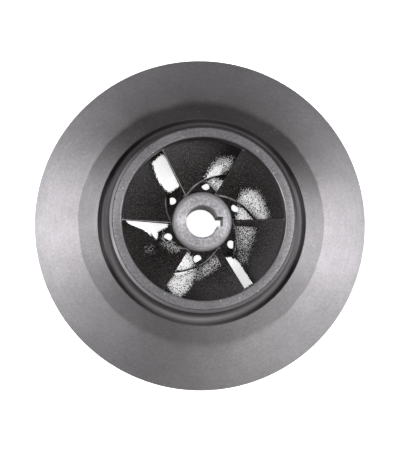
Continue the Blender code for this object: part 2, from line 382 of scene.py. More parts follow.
def turned_piece(name, profile, material, segments=240):
    """A piece turned from a closed profile, its sharp corners rounded."""
    mesh = turned_mesh(name, eased(profile, sizes().edge_round), segments)
    return link(name, mesh, material)


def smooth(mesh, degrees=32):
    """Shades the mesh smooth, apart from edges that turn by more than the angle."""
    mesh.shade_smooth()
    mesh.set_sharp_from_angle(angle=math.radians(degrees))


def subtract(obj, cutters):
    """Cuts the cutters from the object, applies the result and drops them."""
    for cutter in cutters:
        boolean = obj.modifiers.new(cutter.name, "BOOLEAN")
        boolean.operation = "DIFFERENCE"
        boolean.solver = "EXACT"
        boolean.object = cutter
    bpy.context.view_layer.update()
    graph = bpy.context.evaluated_depsgraph_get()
    mesh = bpy.data.meshes.new_from_object(obj.evaluated_get(graph))
    obj.modifiers.clear()
    obj.data = mesh
    for cutter in cutters:
        bpy.data.objects.remove(cutter)
    smooth(mesh)


def place(piece, node, slot):
    """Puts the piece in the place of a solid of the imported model."""
    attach(piece, "root")
    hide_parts(node)


class NodeBench:
    """Short calls for laying out one material's nodes."""

    def __init__(self, name):
        self.material = bpy.data.materials.new(name)
        self.material.use_nodes = True
        self.tree = self.material.node_tree
        self.shader = self.tree.nodes["Principled BSDF"]
        self.place = self.add("ShaderNodeTexCoord").outputs["Object"]
        self.x, self.y, self.z = self.add("ShaderNodeSeparateXYZ", Vector=self.place).outputs
        flat = self.add("ShaderNodeCombineXYZ", X=self.x, Y=self.y)
        from_axis = self.add("ShaderNodeVectorMath", operation="LENGTH")
        self.tree.links.new(flat.outputs[0], from_axis.inputs[0])
        self.radius = from_axis.outputs["Value"]

    def add(self, kind, operation=None, **inputs):
        """A new node, with its inputs linked or set by name."""
        node = self.tree.nodes.new(kind)
        if operation:
            node.operation = operation
        self.fill(node, **inputs)
        return node

    def fill(self, node, **inputs):
        """Links or sets a node's inputs by name, with _ for a space."""
        for name, value in inputs.items():
            self.feed(node.inputs[name.replace("_", " ")], value)

    def feed(self, socket, value):
        """Links a socket to another one, or sets it to a value."""
        if isinstance(value, bpy.types.NodeSocket):
            self.tree.links.new(value, socket)
        else:
            socket.default_value = value

    def math(self, operation, first, second=0.0, third=0.0):
        node = self.tree.nodes.new("ShaderNodeMath")
        node.operation = operation
        for socket, value in zip(node.inputs, (first, second, third)):
            self.feed(socket, value)
        return node.outputs[0]

    def times(self, first, second):
        return self.math("MULTIPLY", first, second)

    def plus(self, first, second):
        return self.math("ADD", first, second)

    def scaled(self, value, factor, offset):
        return self.math("MULTIPLY_ADD", value, factor, offset)

    def gap(self, first, second):
        """How far two values lie apart."""
        return self.math("ABSOLUTE", self.math("SUBTRACT", first, second))

    def noise(self, scale, detail, roughness=0.6, vector=None):
        node = self.add("ShaderNodeTexNoise", Scale=scale, Detail=detail, Roughness=roughness)
        self.fill(node, Vector=vector or self.place)
        return node.outputs["Fac"]

    def ring_noise(self, scale, detail, roughness):
        """Noise that is the same all the way round, as left by turning."""
        lane = self.add("ShaderNodeCombineXYZ", X=self.radius, Y=0.0, Z=self.z)
        return self.noise(scale, detail, roughness, lane.outputs[0])

    def step(self, value, low, high):
        """0 below low, 1 above high, smooth between."""
        node = self.add("ShaderNodeMapRange", Value=value, From_Min=low, From_Max=high)
        node.interpolation_type = "SMOOTHSTEP"
        return node.outputs["Result"]

    def step_down(self, value, low, high):
        """1 below low, 0 above high, smooth between."""
        return self.math("SUBTRACT", 1.0, self.step(value, low, high))

    def span(self, value, low, high, bottom, top):
        """Bottom below low, top above high, straight between."""
        node = self.add("ShaderNodeMapRange", Value=value, From_Min=low, From_Max=high)
        self.fill(node, To_Min=bottom, To_Max=top)
        return node.outputs["Result"]

    def mix(self, factor, first, second, blend="MIX"):
        node = self.tree.nodes.new("ShaderNodeMix")
        node.data_type = "RGBA"
        node.blend_type = blend
        self.feed(node.inputs["Factor"], factor)
        self.feed(node.inputs["A"], opaque(first))
        self.feed(node.inputs["B"], opaque(second))
        return node.outputs["Result"]

    def specks(self, scale, size):
        """Small round dots, 1 inside."""
        node = self.add("ShaderNodeTexVoronoi", Scale=scale, Vector=self.place)
        return self.step_down(node.outputs["Distance"], size * 0.6, size)

    def attribute(self, name):
        node = self.add("ShaderNodeAttribute")
        node.attribute_name = name
        return node.outputs["Fac"]

    def mottled(self, base, scale, least, most):
        """The colour made darker and lighter in small blots."""
        blots = self.span(self.noise(scale, 4, 0.7), 0.3, 0.7, least, most)
        return self.mix(1.0, base, blots, "MULTIPLY")

    def turned_iron(self, rings, cloud, tints, most_marks, most_clouds):
        """Bare iron with darker turning marks and duller clouds."""
        iron, marks, clouds = tints
        bare = self.mix(self.span(rings, 0.35, 0.7, 0.0, most_marks), iron, marks)
        return self.mix(self.span(cloud, 0.4, 0.8, 0.0, most_clouds), bare, clouds)

    def grooved(self, amount):
        """Spreads reflections across the turning marks, which run round the axis."""
        tangent = self.add("ShaderNodeTangent")
        tangent.direction_type = "RADIAL"
        tangent.axis = "Z"
        self.fill(self.shader, Tangent=tangent.outputs[0], Anisotropic=amount, Anisotropic_Rotation=0.25)

    def finish(self, base, roughness, metallic, height=None, distance=0.0002):
        """Puts the colour, the gloss and the bump on the shader."""
        self.fill(self.shader, Base_Color=base, Roughness=roughness, Metallic=metallic)
        if height is not None:
            bump = self.add("ShaderNodeBump", Height=height, Distance=distance, Strength=1.0)
            self.fill(self.shader, Normal=bump.outputs["Normal"])
        return self.material


def opaque(value):
    """A colour with its alpha, or the socket that gives one."""
    if isinstance(value, bpy.types.NodeSocket):
        return value
    return (*tuple(value)[:3], 1.0)


# Where painted shade, painted light and the zone border's blur set in and where they are full, in metres from
# the axis.
FAR_SHADE_BAND = (0.004, 0.083)  # painted shade, towards the far side
SMUDGED = (0.075, 0.115)  # the same way
FADED = (0.080, 0.115)  # towards the near side
OUTER_SHADE_BAND = (0.118, 0.166)  # painted shade, all round, and here it ends outwards
LIT_SIDES = (0.089, 0.101)  # painted light, towards the left and the right
WALL_FAR_SHADE = (0.080, 0.098)  # painted shade on the recess's wall, towards the far side
FLOOR_FAR_SHADE = (0.030, 0.080)  # painted shade on the recess's floor, the same way


def shroud_material():
    """Satin coat over the turned front shroud: a paler outer zone and a darker inner one."""
    s = sizes()
    f = finishes()
    bench = NodeBench("coated_shroud")
    recess_edge = s.eye_radius + s.neck_wall + s.recess_width
    zone_edge = recess_edge + s.inner_cone_width
    near = bench.times(bench.y, -1.0)

    # The far side is darkened as painted shade, which reaches less far on the left.
    leftward = bench.math("MINIMUM", bench.x, 0.0)
    far_shade = bench.step(bench.scaled(leftward, 0.25, bench.y), *FAR_SHADE_BAND)
    smudged = bench.step(bench.y, *SMUDGED)
    faded = bench.step(near, *FADED)

    # The border between the zones wanders a little, and is blurred on the near and the far side.
    most_wander = 0.0010
    wander = bench.span(bench.noise(30, 4, 0.6), 0.3, 0.7, -most_wander, most_wander)
    wander = bench.times(wander, bench.scaled(smudged, 0.6, 1.0))
    radius = bench.plus(bench.radius, wander)
    vague = bench.plus(bench.scaled(far_shade, 0.3, faded), smudged)
    blur = bench.scaled(vague, 0.0042, 0.0006)
    outer = bench.step(radius, bench.math("SUBTRACT", zone_edge, blur), bench.plus(zone_edge, blur))
    base = bench.mix(outer, bench.mix(far_shade, f.coat_inner, f.coat_far_shade), f.coat)

    # Painted shade lies outside that border, and a little more of it in the middle of the near side.
    outer_shade = bench.times(bench.step_down(radius, *OUTER_SHADE_BAND), outer)
    outer_shade = bench.times(outer_shade, bench.math("MAXIMUM", far_shade, 0.3))
    base = bench.mix(bench.times(outer_shade, 0.5), base, f.outer_shade)
    straight_on = bench.step(bench.math("DIVIDE", near, bench.radius), 0.78, 0.97)
    base = bench.mix(bench.times(straight_on, 0.2), base, f.outer_shade)

    rings = bench.ring_noise(900, 4, 0.75)
    grain = bench.noise(2600, 2, 0.5)
    base = bench.mix(bench.span(rings, 0.3, 0.7, 0.0, 0.12), base, f.coat_marks)
    for scale, depth in ((16, 0.10), (70, 0.04), (420, 0.14)):
        base = bench.mottled(base, scale, 1 - depth, 1 + depth)
    base = bench.mix(bench.times(bench.specks(260, 0.08), 0.6), base, f.dust_and_sheen)

    # The recess: its floor painted paler than its wall, as lit, its wall painted lighter at the left and the
    # right (painted light), and both darker towards the far side (painted shade).
    recess = bench.step_down(bench.radius, recess_edge - 0.0015, recess_edge + 0.0007)
    wall = bench.step(bench.radius, recess_edge - 0.0061, recess_edge - 0.0044)
    floor = bench.mix(bench.step(bench.y, *FLOOR_FAR_SHADE), f.recess_floor, f.painted_shade)
    at_sides = bench.step(bench.math("ABSOLUTE", bench.x), *LIT_SIDES)
    side = bench.mix(at_sides, f.recess, f.recess_lit_sides)
    side = bench.mix(bench.step(bench.y, *WALL_FAR_SHADE), side, f.recess_far_shade)
    base = bench.mix(recess, base, bench.mix(wall, floor, side))

    cloud = bench.noise(22, 5, 0.65)
    rough = bench.span(bench.plus(bench.times(cloud, 0.6), rings), 0.5, 1.1, 0.445, 0.575)
    height = bench.plus(bench.times(rings, 0.7), bench.times(grain, 0.5))
    metallic = bench.scaled(recess, -0.60, 0.75)
    return bench.finish(base, rough, metallic, height, 0.00006)


def neck_side(bench):
    """Duller iron of the chamfer and the land, painted lighter on the left (painted light) and darker on the
    far side (painted shade).
    """
    f = finishes()
    side = bench.mix(bench.step(bench.x, -0.075, -0.020), f.lit_left_side, f.turned_side)
    across = bench.scaled(bench.x, 0.35, bench.y)
    return bench.mix(bench.step(across, -0.010, 0.065), side, f.painted_shade)


def neck_root_coat(bench):
    """Dark coat of the cast wall and the root, darkened as painted shade, and the recess's floor painted
    paler, as lit, on its near side and towards the left.
    """
    s = sizes()
    f = finishes()
    root = s.eye_radius + s.neck_wall
    floor = bench.step(bench.radius, root + 0.0022, root + 0.0058)
    floor_lit = bench.step_down(bench.y, *FLOOR_FAR_SHADE)
    floor_lit = bench.times(floor_lit, bench.span(bench.x, 0.030, 0.080, 1.0, 0.5))
    return bench.mix(bench.times(floor, floor_lit), f.painted_shade, f.recess_floor)


def suction_neck_zone(bench, arris):
    """1 on the turned face, chamfer and land, less along the ragged arris between face and chamfer."""
    s = sizes()
    line = FACE_Z - s.neck_chamfer - s.land_height
    above = bench.step(bench.z, line - 0.0005, line + 0.0003)
    outside = bench.step(bench.radius, s.eye_radius + 0.0001, s.eye_radius + 0.0006)
    ragged = bench.scaled(bench.noise(240, 3), 0.0008, bench.gap(bench.radius, arris))
    off_arris = bench.span(bench.step(ragged, 0.0007, 0.0010), 0, 1, 0.05, 1.0)
    return bench.times(bench.times(above, outside), off_arris)


def neck_material(name="turned_neck", top=True):
    """Bare turned face and land, and a dark coat below the land and in the recess, darkened as painted shade.
    """
    s = sizes()
    f = finishes()
    bench = NodeBench(name)
    rings = bench.ring_noise(1300, 4, 0.8)
    cloud = bench.noise(35, 5, 0.6)
    grain = bench.noise(2200, 2, 0.5)
    tints = (f.turned, f.turned_marks, f.turned_clouds)
    bare = bench.mottled(bench.turned_iron(rings, cloud, tints, 0.30, 0.25), 480, 0.70, 1.30)
    for scale, size, tint in ((300, 0.09, f.nicks), (120, 0.11, f.dents)):
        bare = bench.mix(bench.times(bench.specks(scale, size), 0.8), bare, tint)
    if top:
        land = s.eye_radius + s.neck_wall
        arris = land - s.neck_chamfer
        zone = suction_neck_zone(bench, arris)
        side = bench.step(bench.radius, arris, land - 0.0022)
        bare = bench.mix(side, bare, neck_side(bench))
    else:
        line = BACK_EDGE_Z - 0.002
        zone = bench.step_down(bench.z, line, line + 0.0006)
        side = 0.0
    base = bench.mix(zone, neck_root_coat(bench), bare)
    bench.grooved(0.25)
    rough = bench.plus(bench.times(zone, -0.12), bench.span(cloud, 0.3, 0.7, 0.44, 0.56))
    height = bench.plus(bench.times(rings, 0.8), bench.times(grain, 0.4))
    shine = bench.scaled(bench.step(bench.y, 0.050, 0.090), -0.16, 0.2)
    bench.fill(bench.shader, Specular_IOR_Level=bench.scaled(zone, 0.3, shine))
    metallic = bench.times(bench.scaled(zone, 0.80, 0.05), bench.scaled(side, -0.65, 1.0))
    return bench.finish(base, rough, metallic, height, 0.00010)


def hub_material():
    """Bare turned hub with a duller shoulder."""
    f = finishes()
    bench = NodeBench("turned_hub")
    rings = bench.ring_noise(1500, 4, 0.8)
    cloud = bench.noise(60, 5, 0.6)
    tints = (f.hub_turned, f.hub_marks, f.hub_clouds)
    base = bench.turned_iron(rings, cloud, tints, 0.25, 0.35)
    for scale, depth in ((130, 0.20), (420, 0.48)):
        base = bench.mottled(base, scale, 1 - depth, 1 + depth)

    nose_edge = HUB_RADIUS - sizes().hub_shoulder
    dull = bench.step(bench.radius, nose_edge - 0.0004, nose_edge + 0.0008)
    base = bench.mix(bench.times(dull, 0.75), base, f.hub_dull)
    below = bench.step_down(bench.z, NOSE_Z - 0.0012, NOSE_Z - 0.0004)
    bore = bench.times(below, bench.step_down(bench.radius, nose_edge - 0.004, nose_edge - 0.003))
    base = bench.mix(bore, base, f.bore)

    bench.grooved(0.28)
    rough = bench.scaled(dull, 0.12, bench.span(cloud, 0.3, 0.7, 0.40, 0.52))
    height = bench.plus(rings, bench.times(bench.noise(1800, 2, 0.5), 0.4))
    less_metal = bench.math("MAXIMUM", bore, bench.times(dull, 0.6))
    return bench.finish(base, rough, bench.scaled(less_metal, -0.70, 0.85), height, 0.00010)


# Painted light, which also glows, beside the leading edges: the vane, the corners (along its leading edge,
# across it),
# the raggedness, the fullness, all in mm, the strength, and 1 where it stops short of the vane's foot.
# The noise makes the outline ragged, and a low fullness lets it make holes inside.
VANE_PATCHES = (
    (3, ((45, -3), (74, -3), (80, 1), (77, 14), (59, 17), (47, 15), (45, 12)), 0.8, 9, 1.0, 0),
    (2, ((37, 19), (46, 18.5), (57, 16.5), (62, 10), (53, 8)), 1.4, 1.4, 1.0, 1),
    (2, ((43, 19), (54, 20), (65, 17.5), (72, 6), (64, 3), (54, 8)), 2.1, 0.4, 0.85, 1),
    (
        1,
        ((37, 22), (41, 31), (47, 32), (54, 31), (60, 25), (64, 17), (68, 7), (64, 2), (57, 6)),
        2.2,
        0.9,
        0.66,
        1,
    ),
    (6, ((47, -3), (80, -3), (79, 13), (54, 13), (47, 11)), 0.5, 9, 1.0, 0),
    (6, ((31, 24), (42, 20), (47, 28), (37, 39), (28, 44), (19, 29)), 2.2, -0.2, 0.42, 0),
    (6, ((44, 18), (48, 26), (57, 20), (56, 13)), 1.8, -0.4, 0.3, 0),
    (5, ((43, 18), (58, 8), (59, 0), (50, 0)), 1.4, 1.6, 1.0, 1),
    (5, ((45, 19), (60, 4), (70, -1), (77, 9), (76, 18), (66, 22), (52, 21)), 1.9, 0.75, 1.0, 1),
    (5, ((55, 21), (44, 22), (35, 25), (22, 30), (21, 37), (29, 39), (41, 32), (49, 29)), 1.8, -0.2, 0.45, 0),
    (4, ((40, -3), (43, 13), (46.5, 16.5), (58, 1), (60, -3)), 0.8, 9, 1.0, 0),
    (4, ((52, -3), (51, 13), (63, 4), (66, -3)), 0.6, 9, 1.0, 0),
    (4, ((58, -3), (58, 7.5), (74, 1.4), (78, -3)), 0.4, 9, 1.0, 0),
    (4, ((34, 20), (40, 22), (30, 30), (18, 30)), 1.8, -0.5, 0.5, 0),
    (4, ((50, 25), (56, 26), (56, 30), (50, 30)), 1.8, -1.5, 0.5, 0),
)
# The same painted light on the back shroud's face.
FLOOR_PATCHES = (
    (3, ((44, -3), (72, -3), (60, 14), (47, 17), (43, 12)), 0.8, 9, 1.0, 0),
    (2, ((34, -3), (50, -3), (46, 14), (39, 16)), 1.6, 0.5, 0.8, 0),
    (1, ((33, -3), (60, -3), (44, 15), (37, 17), (36, 9)), 1.8, 1.1, 1.0, 0),
    (6, ((40, -3), (66, -3), (58, 14), (45, 9)), 0.5, 9, 1.0, 0),
    (6, ((31, 24), (38, 18), (52, 10), (60, 20), (44, 32)), 1.8, 0.0, 0.45, 0),
    (5, ((30, -3), (60, -3), (44, 18), (36, 10)), 1.9, 0.9, 1.0, 0),
    (4, ((80, -3), (34, -3), (35, 5), (45, 9), (56, 9), (72, 4)), 0.8, 9, 1.0, 0),
    (4, ((44, 8), (58, 8), (48, 19), (45, 14)), 0.8, 9, 1.0, 0),
    (4, ((37, 6), (30, 12), (28, 22), (20, 30), (31, 30), (41, 20)), 1.8, -0.3, 0.5, 0),
)


def depth_inside(bench, place, points):
    """How far inside a convex outline a place lies, below 0 outside it."""
    depth = 1.0
    centre = sum(points, Vector((0, 0))) / len(points)
    for here, after in zip(points, points[1:] + points[:1]):
        along = (after - here).normalized()
        inward = Vector((-along.y, along.x))
        if inward.dot(centre - here) < 0:
            inward.negate()
        edge = bench.add("ShaderNodeVectorMath", operation="DOT_PRODUCT")
        bench.feed(edge.inputs[0], place)
        edge.inputs[1].default_value = (inward.x, inward.y, -inward.dot(here))
        depth = bench.math("MINIMUM", depth, edge.outputs["Value"])
    return depth


def painted_light_mask(bench, patches, foot):
    """Up to 1 on the pale, speckled painted light deep in the passages beside the leading edges."""
    s = sizes()
    place = bench.add("ShaderNodeCombineXYZ", X=bench.x, Y=bench.y, Z=1.0).outputs[0]
    speckle = bench.math("SUBTRACT", bench.noise(900, 2, 0.7), 0.5)
    total = 0.0
    for vane, corners, rag, fullness, strength, short in patches:
        turn = Matrix.Rotation((vane - 1) * math.tau / VANES, 2)
        depth = depth_inside(bench, place, [turn @ Vector(corner) * MM for corner in corners])
        fade = bench.span(depth, 0.0, 0.006, 0.45, 1.0) if rag > RAGGED else 1.0
        depth = bench.math("MINIMUM", depth, fullness * MM)
        depth = bench.scaled(speckle, rag * 10 * MM, depth)
        pale = bench.times(bench.step(depth, -0.0002, 0.0004), strength)
        pale = bench.times(pale, fade)
        if short:
            pale = bench.times(pale, bench.step(foot, 0.0018, 0.0034))
        total = bench.math("MAXIMUM", total, pale)

    # Only below the leading edges, and not on faces that look down.
    tip = FACE_Z - s.vane_tip_depth
    root = NOSE_Z - s.hub_shoulder - s.hub_step
    line = bench.span(bench.radius, HUB_RADIUS, s.eye_radius, root, tip)
    below = bench.step(bench.math("SUBTRACT", line, bench.z), 0.0030, 0.0040)
    surface = bench.add("ShaderNodeNewGeometry")
    facing = bench.add("ShaderNodeSeparateXYZ", Vector=surface.outputs["Normal"])
    seen = bench.times(below, bench.step(facing.outputs["Z"], -0.3, -0.1))
    return bench.times(total, seen)


def edge_wear_and_highlight(bench, foot, lumps):
    """1 where a vane is bare and painted with a highlight along its leading edge, and in a painted highlight
    round its foot at the hub.
    """
    ragged = bench.scaled(bench.noise(160, 3), 0.6, bench.attribute("worn_edge"))
    edge = bench.step(ragged, 0.80, 1.15)
    line = bench.step_down(bench.gap(foot, FOOT_LINE_RISE), 0.0003, 0.0010)
    line = bench.times(line, bench.span(lumps, 0.35, 0.60, 0.35, 1.0))
    at_hub = bench.step_down(bench.radius, 0.041, 0.046)
    return bench.math("MAXIMUM", edge, bench.times(line, at_hub))


def cast_material(name, patches, grain_size=0.00030, vane=False):
    """Black, rough cast iron with a brown bloom, painted sheen towards the eye wall and glowing painted light
    at the throats, and a vane's bare, highlighted edge and painted highlight along its foot.
    """
    f = finishes()
    bench = NodeBench(name)
    cloud = bench.noise(28, 5, 0.6)
    sand = bench.noise(900, 3, 0.6)
    lumps = bench.noise(160, 3, 0.55)
    base = bench.mix(bench.span(cloud, 0.40, 0.70, 0.0, 1.0), f.black, f.rust)
    # Painted sheen: lighter and glossier towards the eye wall and on the right.
    deeper = bench.step(bench.radius, 0.042, 0.088)
    dust_and_sheen = bench.times(deeper, bench.span(bench.x, -0.080, 0.0, 0.40, 0.80))
    base = bench.mix(dust_and_sheen, base, f.passage_sheen)
    base = bench.mottled(base, 800, 0.2, 1.8)
    base = bench.mix(bench.span(sand, 0.51, 0.71, 0.0, 0.85), base, f.sand)

    foot = bench.attribute("rise")
    # Painted light at the throats of the passages.
    pale = painted_light_mask(bench, patches, foot)
    # Bare iron and painted highlights on the vanes.
    wear_and_highlight = edge_wear_and_highlight(bench, foot, lumps) if vane else 0.0
    base = bench.mix(pale, base, f.scale)
    base = bench.mix(wear_and_highlight, base, f.wear_and_highlight)

    rough = bench.span(sand, 0.3, 0.7, 0.46, 0.70)
    gloss = bench.scaled(dust_and_sheen, 0.28, bench.span(sand, 0.38, 0.64, 0.0, 0.25))
    bench.fill(bench.shader, Specular_IOR_Level=gloss)
    height = bench.plus(sand, bench.times(lumps, 1.5))
    # The painted light at the throats also glows.
    bench.fill(bench.shader, Emission_Color=opaque(WHITE), Emission_Strength=bench.times(pale, 0.7))
    return bench.finish(base, rough, bench.times(wear_and_highlight, 0.3), height, grain_size)


def recess_side(radius, low, high):
    """The rounded wall between the recess's floor and the cone outside it."""
    s = sizes()
    start = radius - s.recess_wall
    end = radius + s.recess_wall * RECESS_LIP
    steps = 10
    side = []
    for k in range(steps + 1):
        u = k / steps
        side.append((start + (end - start) * u, low + (high - low) * u * u * (3 - 2 * u)))
    return side


def front_cover_profile():
    """Closed section of the front shroud outside the neck's root, down its outer side."""
    s = sizes()
    recess = s.eye_radius + s.neck_wall + s.recess_width
    zone = recess + s.inner_cone_width
    rim_z = COVER_EDGE_Z + s.front_edge
    zone_z = rim_z + (OUTER_RADIUS - zone) * math.tan(s.cone)
    recess_z = zone_z + (zone - recess) * math.tan(s.inner_cone)
    recess_floor = recess_z - s.recess_depth
    lip_z = recess_z + s.recess_wall * RECESS_LIP * math.tan(s.inner_cone)
    split = s.eye_radius + s.neck_wall - s.neck_relief + s.neck_root
    t_split = parameter_at(cover_point, split)
    profile = [
        (split, recess_floor),
        *recess_side(recess, recess_floor, lip_z),
        (zone, zone_z),
        (OUTER_RADIUS, rim_z),
    ]
    steps = 40
    for i in range(steps + 1):
        profile.append(cover_point(1 - (1 - t_split) * i / steps))
    return profile, split, recess_floor


class IMPELLER_OT_front_cover(bpy.types.Operator):
    """Turns the front shroud: two cones, the recess's outer wall and the curved underside"""

    bl_idname = "impeller.front_cover"
    bl_label = "Front Shroud"

    def execute(self, context):
        profile, _, _ = front_cover_profile()
        cover = turned_piece("front_cover", profile, shroud_material())
        place(cover, "front_shroud", "coated_iron")
        return {"FINISHED"}


class IMPELLER_OT_suction_collar(bpy.types.Operator):
    """Turns the suction neck: face, chamfers, running land, relieved wall and root"""

    bl_idname = "impeller.suction_collar"
    bl_label = "Suction Neck"

    def execute(self, context):
        s = sizes()
        _, split, recess_floor = front_cover_profile()
        land = s.eye_radius + s.neck_wall
        land_bottom = FACE_Z - s.neck_chamfer - s.land_height
        t_split = parameter_at(cover_point, split)
        profile = [
            (s.eye_radius, FACE_Z - s.eye_chamfer),
            (s.eye_radius + s.eye_chamfer, FACE_Z),
            (land - s.neck_chamfer, FACE_Z),
            (land, FACE_Z - s.neck_chamfer),
            (land, land_bottom),
            (land - s.neck_relief, land_bottom - s.neck_relief),
            *arc((split, recess_floor + s.neck_root), s.neck_root, 180, 270),
        ]
        steps = 30
        for i in range(steps + 1):
            profile.append(cover_point(t_split * (1 - i / steps)))
        collar = turned_piece("suction_collar", profile, neck_material())
        place(collar, "suction_neck", "machined_iron")
        return {"FINISHED"}


class IMPELLER_OT_hub_plate(bpy.types.Operator):
    """Turns the dished back shroud and drills its balance holes"""

    bl_idname = "impeller.hub_plate"
    bl_label = "Back Shroud"

    def execute(self, context):
        s = sizes()
        steps = 48
        profile = [floor_point(i / steps) for i in range(steps + 1)]
        for i in range(steps):
            profile.append(offset_point(floor_point, 1 - i / steps, s.back_thickness))
        profile = [p for p in profile if p[0] >= HUB_RADIUS - 1e-6]
        profile.append((HUB_RADIUS, rear_height(HUB_RADIUS)))
        plate = turned_piece("hub_plate", profile, cast_material("cast_plate", FLOOR_PATCHES))
        drills = []
        for i in range(VANES):
            a = s.hole_angle + i * math.tau / VANES
            shape = bmesh.new()
            bmesh.ops.create_cone(
                shape,
                cap_ends=True,
                segments=48,
                radius1=s.hole_radius,
                radius2=s.hole_radius,
                depth=2 * NOSE_Z,
            )
            centre = (s.hole_circle * math.cos(a), s.hole_circle * math.sin(a), 0)
            bmesh.ops.translate(shape, vec=centre, verts=shape.verts)
            drills.append(add_object(f"drill_{i + 1}", finished_mesh("drill", shape)))
        subtract(plate, drills)
        place(plate, "back_shroud", "as_cast_iron")
        return {"FINISHED"}


class IMPELLER_OT_rear_collar(bpy.types.Operator):
    """Turns the rear neck that the impeller lies on"""

    bl_idname = "impeller.rear_collar"
    bl_label = "Rear Neck"

    def execute(self, context):
        s = sizes()
        outer = REAR_LAND_RADIUS
        inner = outer - s.rear_neck_wall
        against_shroud = (inner, (inner + outer) / 2, outer)
        profile = [
            *((radius, rear_height(radius, REAR_NECK_TOP)) for radius in against_shroud),
            (outer, REAR_FACE_Z + s.rear_chamfer),
            (outer - s.rear_chamfer, REAR_FACE_Z),
            (inner + s.rear_chamfer, REAR_FACE_Z),
            (inner, REAR_FACE_Z + s.rear_chamfer),
        ]
        collar = turned_piece("rear_collar", profile, neck_material("turned_rear_neck", top=False))
        place(collar, "rear_neck", "machined_iron")
        return {"FINISHED"}


class IMPELLER_OT_hub_boss(bpy.types.Operator):
    """Turns the hub and cuts its keyway"""

    bl_idname = "impeller.hub_boss"
    bl_label = "Hub"

    def execute(self, context):
        s = sizes()
        r = HUB_RADIUS
        shoulder = (r - s.hub_shoulder, NOSE_Z - s.hub_shoulder)
        profile = [
            (s.bore_radius, NOSE_Z - s.bore_chamfer),
            (s.bore_radius + s.bore_chamfer, NOSE_Z),
            *arc(shoulder, s.hub_shoulder, 90, 0),
            (r, HUB_REAR_Z + s.hub_rear_chamfer),
            (r - s.hub_rear_chamfer, HUB_REAR_Z),
            (s.bore_radius + s.bore_chamfer, HUB_REAR_Z),
            (s.bore_radius, HUB_REAR_Z + s.bore_chamfer),
        ]
        hub = turned_piece("hub_boss", profile, hub_material(), 192)
        shape = bmesh.new()
        bmesh.ops.create_cube(shape, size=1.0)
        reach = s.bore_radius + s.keyway_depth
        through = 4 * (NOSE_Z - HUB_REAR_Z)
        bmesh.ops.scale(shape, vec=(reach, s.keyway_width, through), verts=shape.verts)
        bmesh.ops.translate(shape, vec=(reach / 2, 0, NOSE_Z), verts=shape.verts)
        subtract(hub, [add_object("keyway", finished_mesh("keyway", shape))])
        place(hub, "hub", "machined_iron")
        return {"FINISHED"}


def vane_rows(height):
    """Shares of the vane's height, close together in the fillets at both ends."""
    s = sizes()
    steps = (0.0, 0.08, 0.2, 0.38, 0.62, 1.0)
    near = [s.fillet * k / height for k in steps]
    middle = [near[-1] + (1 - 2 * near[-1]) * k / 6 for k in range(1, 6)]
    return near + middle + [1 - k for k in reversed(near)]


def flare(distance):
    """How much a cast fillet adds to one side at a distance from the wall."""
    s = sizes()
    if distance >= s.fillet:
        return 0.0
    rest = 1 - distance / s.fillet
    return s.fillet * (1 - math.sqrt(max(0.0, 1 - rest * rest)))


def vane_angle(radius):
    """Angle between the vane's foot and the circle that it crosses at a radius."""
    s = sizes()
    outward = (radius - HUB_RADIUS) / (OUTER_RADIUS - HUB_RADIUS)
    return s.vane_inlet + (s.vane_outlet - s.vane_inlet) * outward


def sweep_step(start, end):
    """How far round the axis the foot runs back between two radii."""
    return math.log(end / start) / math.tan(vane_angle((start + end) / 2))


def vane_mesh(turn, edge_mark):
    """One vane, ruled by lines in planes through the axis, with a round nose and cast fillets.

    The face that is seen from the eye stands on the swept line, and the thickness lies behind it.
    """
    s = sizes()
    nose_length = 0.0016
    taper_end = 0.14
    stations = [0.0, 0.0006, 0.002, 0.005, 0.010, 0.018, 0.03, 0.045, 0.065, 0.09]
    stations += [0.09 + 0.91 * k / 60 for k in range(1, 61)]
    shape = bmesh.new()
    wear_and_highlight = shape.verts.layers.float.new("worn_edge")
    rise = shape.verts.layers.float.new("rise")
    sides = ([], [])
    sweep = 0.0
    radius_before = HUB_RADIUS
    for index, t in enumerate(stations):
        foot = offset_point(floor_point, t, s.back_thickness * VANE_FOOT)
        top = offset_point(cover_point, t, -VANE_TOP)
        height = math.hypot(top[0] - foot[0], top[1] - foot[1])
        radius_here = floor_point(t)[0]
        sweep += sweep_step(radius_before, radius_here)
        radius_before = radius_here
        travel = sweep * (foot[0] + top[0]) / 2
        nose = min(travel / nose_length, 1.0)
        taper = min(t / taper_end, 1.0)
        body = s.vane_edge + (s.vane_thickness - s.vane_edge) * math.sqrt(1 - (1 - taper) ** 2)
        half = body / 2 * math.sqrt(max(0.0, 1 - (1 - nose) ** 2))
        around = 1 / math.sin(vane_angle(radius_here))
        swell = min(travel / s.fillet_run, 1.0)
        for side, sign in zip(sides, (1, -1)):
            line = []
            for row, share_up in enumerate(vane_rows(height)):
                if index == 0 and sign == -1:
                    line.append(sides[0][0][row])
                    continue
                radius = foot[0] + (top[0] - foot[0]) * share_up
                z = foot[1] + (top[1] - foot[1]) * share_up
                wall = min(share_up, 1 - share_up) * height
                grown = 1.0 if share_up < 0.5 else swell
                width = (body / 2 + sign * (half + flare(wall) * nose * grown)) * around
                a = turn - sweep + width / radius
                vertex = shape.verts.new((radius * math.cos(a), radius * math.sin(a), z))
                at_tip = share_up > TIP_SHARE
                reach = s.worn_width * (3 if at_tip else 1)
                vertex[wear_and_highlight] = (1.0 if at_tip else edge_mark) * max(0.0, 1 - travel / reach)
                vertex[rise] = share_up * height
                line.append(vertex)
            side.append(line)
    close_vane(shape, *sides)
    mesh = finished_mesh("vane", shape)
    smooth(mesh, 45)
    return mesh


